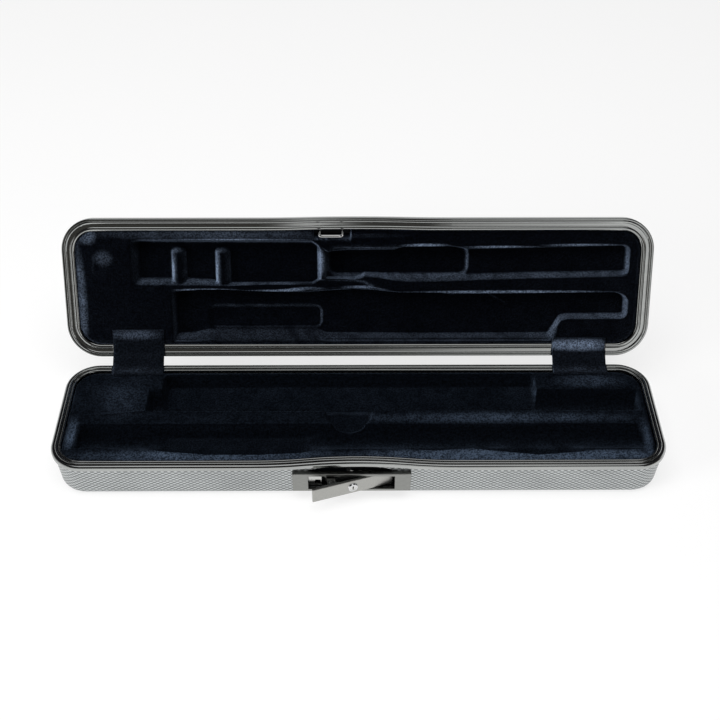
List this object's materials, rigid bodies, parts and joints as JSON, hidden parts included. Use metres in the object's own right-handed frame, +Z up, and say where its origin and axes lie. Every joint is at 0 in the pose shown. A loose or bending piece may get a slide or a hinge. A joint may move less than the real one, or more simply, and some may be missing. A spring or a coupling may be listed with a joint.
{
  "type": "instrument case",
  "caption": "Long slim moulded case with a hinged lid, plush-lined beds and a rocking lever latch with a key lock.",
  "frame": {"origin": "centre of the underside, on the flat face that the case stands on", "axes": "+X along the case's length, to the right as the latch is faced; +Y from the latch to the hinges; +Z up"},
  "size_m": [0.4326, 0.185, 0.1296],
  "materials": {
    "shell_plastic": "silver-grey moulded plastic with a fine embossed weave",
    "rim_plastic": "glossy black",
    "core_foam": "firm foam",
    "plush": "short black plush",
    "latch_steel": "satin nickel plate",
    "plated_steel": "zinc plated",
    "hinge_steel": "black painted",
    "bright_chrome": "polished chrome plate"
  },
  "bodies": {
    "base": {"base_shell": "shell_plastic", "base_rim": "rim_plastic", "base_core": "core_foam", "base_plush": "plush", "latch_plate": "latch_steel", "latch_nuts": "plated_steel", "lever_pin": "plated_steel", "catch_bracket": "plated_steel", "catch_spring": "plated_steel", "hinge_base_leaf_left": "hinge_steel", "hinge_base_leaf_right": "hinge_steel", "hinge_pin_left": "plated_steel", "hinge_pin_right": "plated_steel", "hinge_base_rivets": "hinge_steel", "strap_left": "plush", "strap_right": "plush"},
    "lid": {"lid_shell": "shell_plastic", "lid_rim": "rim_plastic", "lid_core": "core_foam", "lid_plush": "plush", "hinge_lid_leaf_left": "hinge_steel", "hinge_lid_leaf_right": "hinge_steel", "hinge_lid_rivets": "hinge_steel", "striker_loop": "bright_chrome", "striker_plate": "plated_steel", "striker_screws": "plated_steel"},
    "lever": {"latch_lever": "latch_steel", "lever_claw": "plated_steel", "lock_barrel": "bright_chrome"},
    "key": {"key_plug": "bright_chrome", "lock_cam": "plated_steel"}
  },
  "joints": [
    {"name": "lid_hinge", "type": "hinge", "parent": "base", "child": "lid", "pos_m": [0, 0.0551, 0.0335], "axis": [1, 0, 0], "range_deg": [0, 116], "deforming": ["strap_left", "strap_right"]},
    {"name": "lever_swing", "type": "hinge", "parent": "base", "child": "lever", "pos_m": [0.0074, -0.0497, 0.01885], "axis": [0, 0, -1], "range_deg": [0, 17.3]},
    {"name": "key_turn", "type": "hinge", "parent": "lever", "child": "key", "pos_m": [-0.00441, -0.05652, 0.0188], "axis": [0.2974, -0.9548, 0], "range_deg": [0, 90]}
  ]
}
